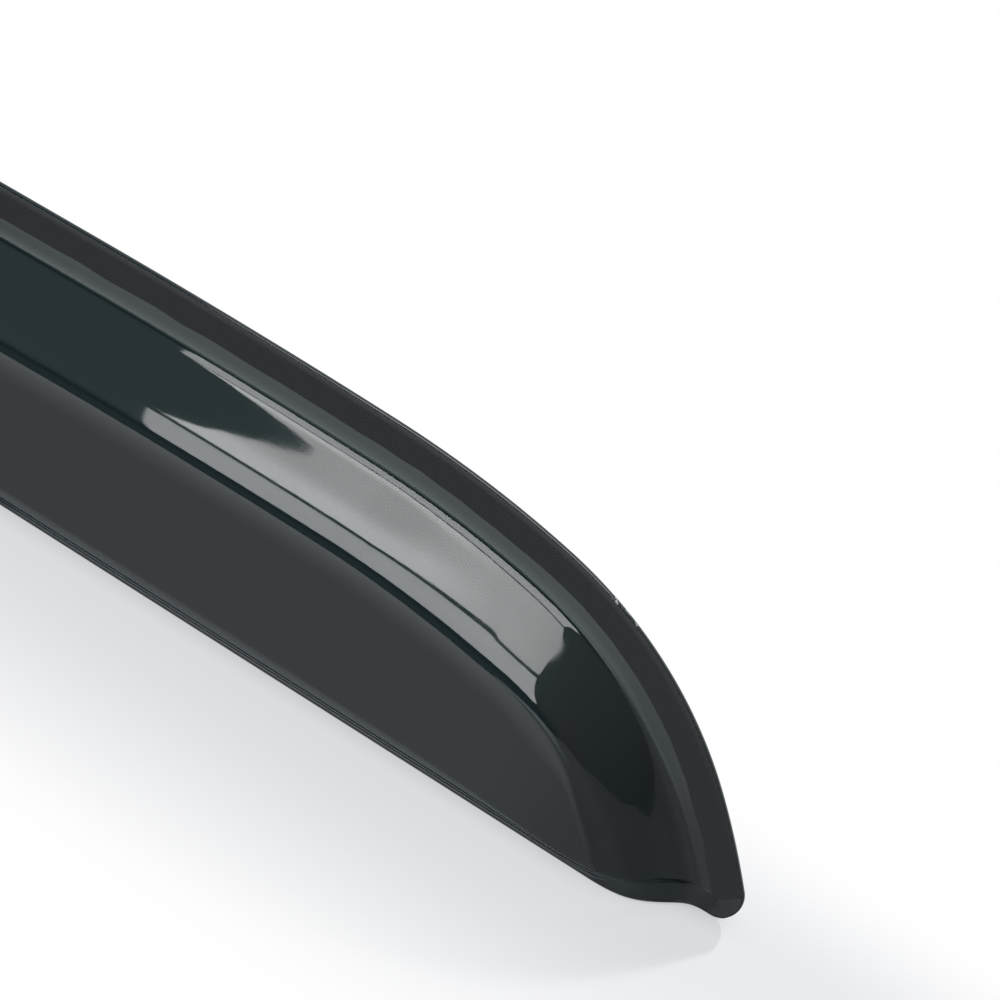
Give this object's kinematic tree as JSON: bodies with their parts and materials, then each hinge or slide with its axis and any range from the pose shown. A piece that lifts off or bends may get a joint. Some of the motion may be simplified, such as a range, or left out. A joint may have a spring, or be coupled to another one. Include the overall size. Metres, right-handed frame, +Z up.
{
  "type": "window rain deflector",
  "caption": "Smoked acrylic visor for a car door's window: a flat taped flange, a sloping wall and an upright blade that turns in to a closed tip, with its foam mounting tape.",
  "frame": {"origin": "on the tape's sticky back face, on the tape's centre line at the highest point of the flange's arched edge", "axes": "+X along the door towards the closed tip, +Y out of the tape's back towards the car, +Z up"},
  "size_m": [0.6321, 0.0336, 0.09],
  "materials": {
    "smoked_acrylic": "polished dark smoke acrylic, slightly see-through",
    "foam_tape": "matt black double-sided foam tape"
  },
  "bodies": {
    "root": {"deflector": "smoked_acrylic", "mounting_tape": "foam_tape"}
  },
  "joints": []
}
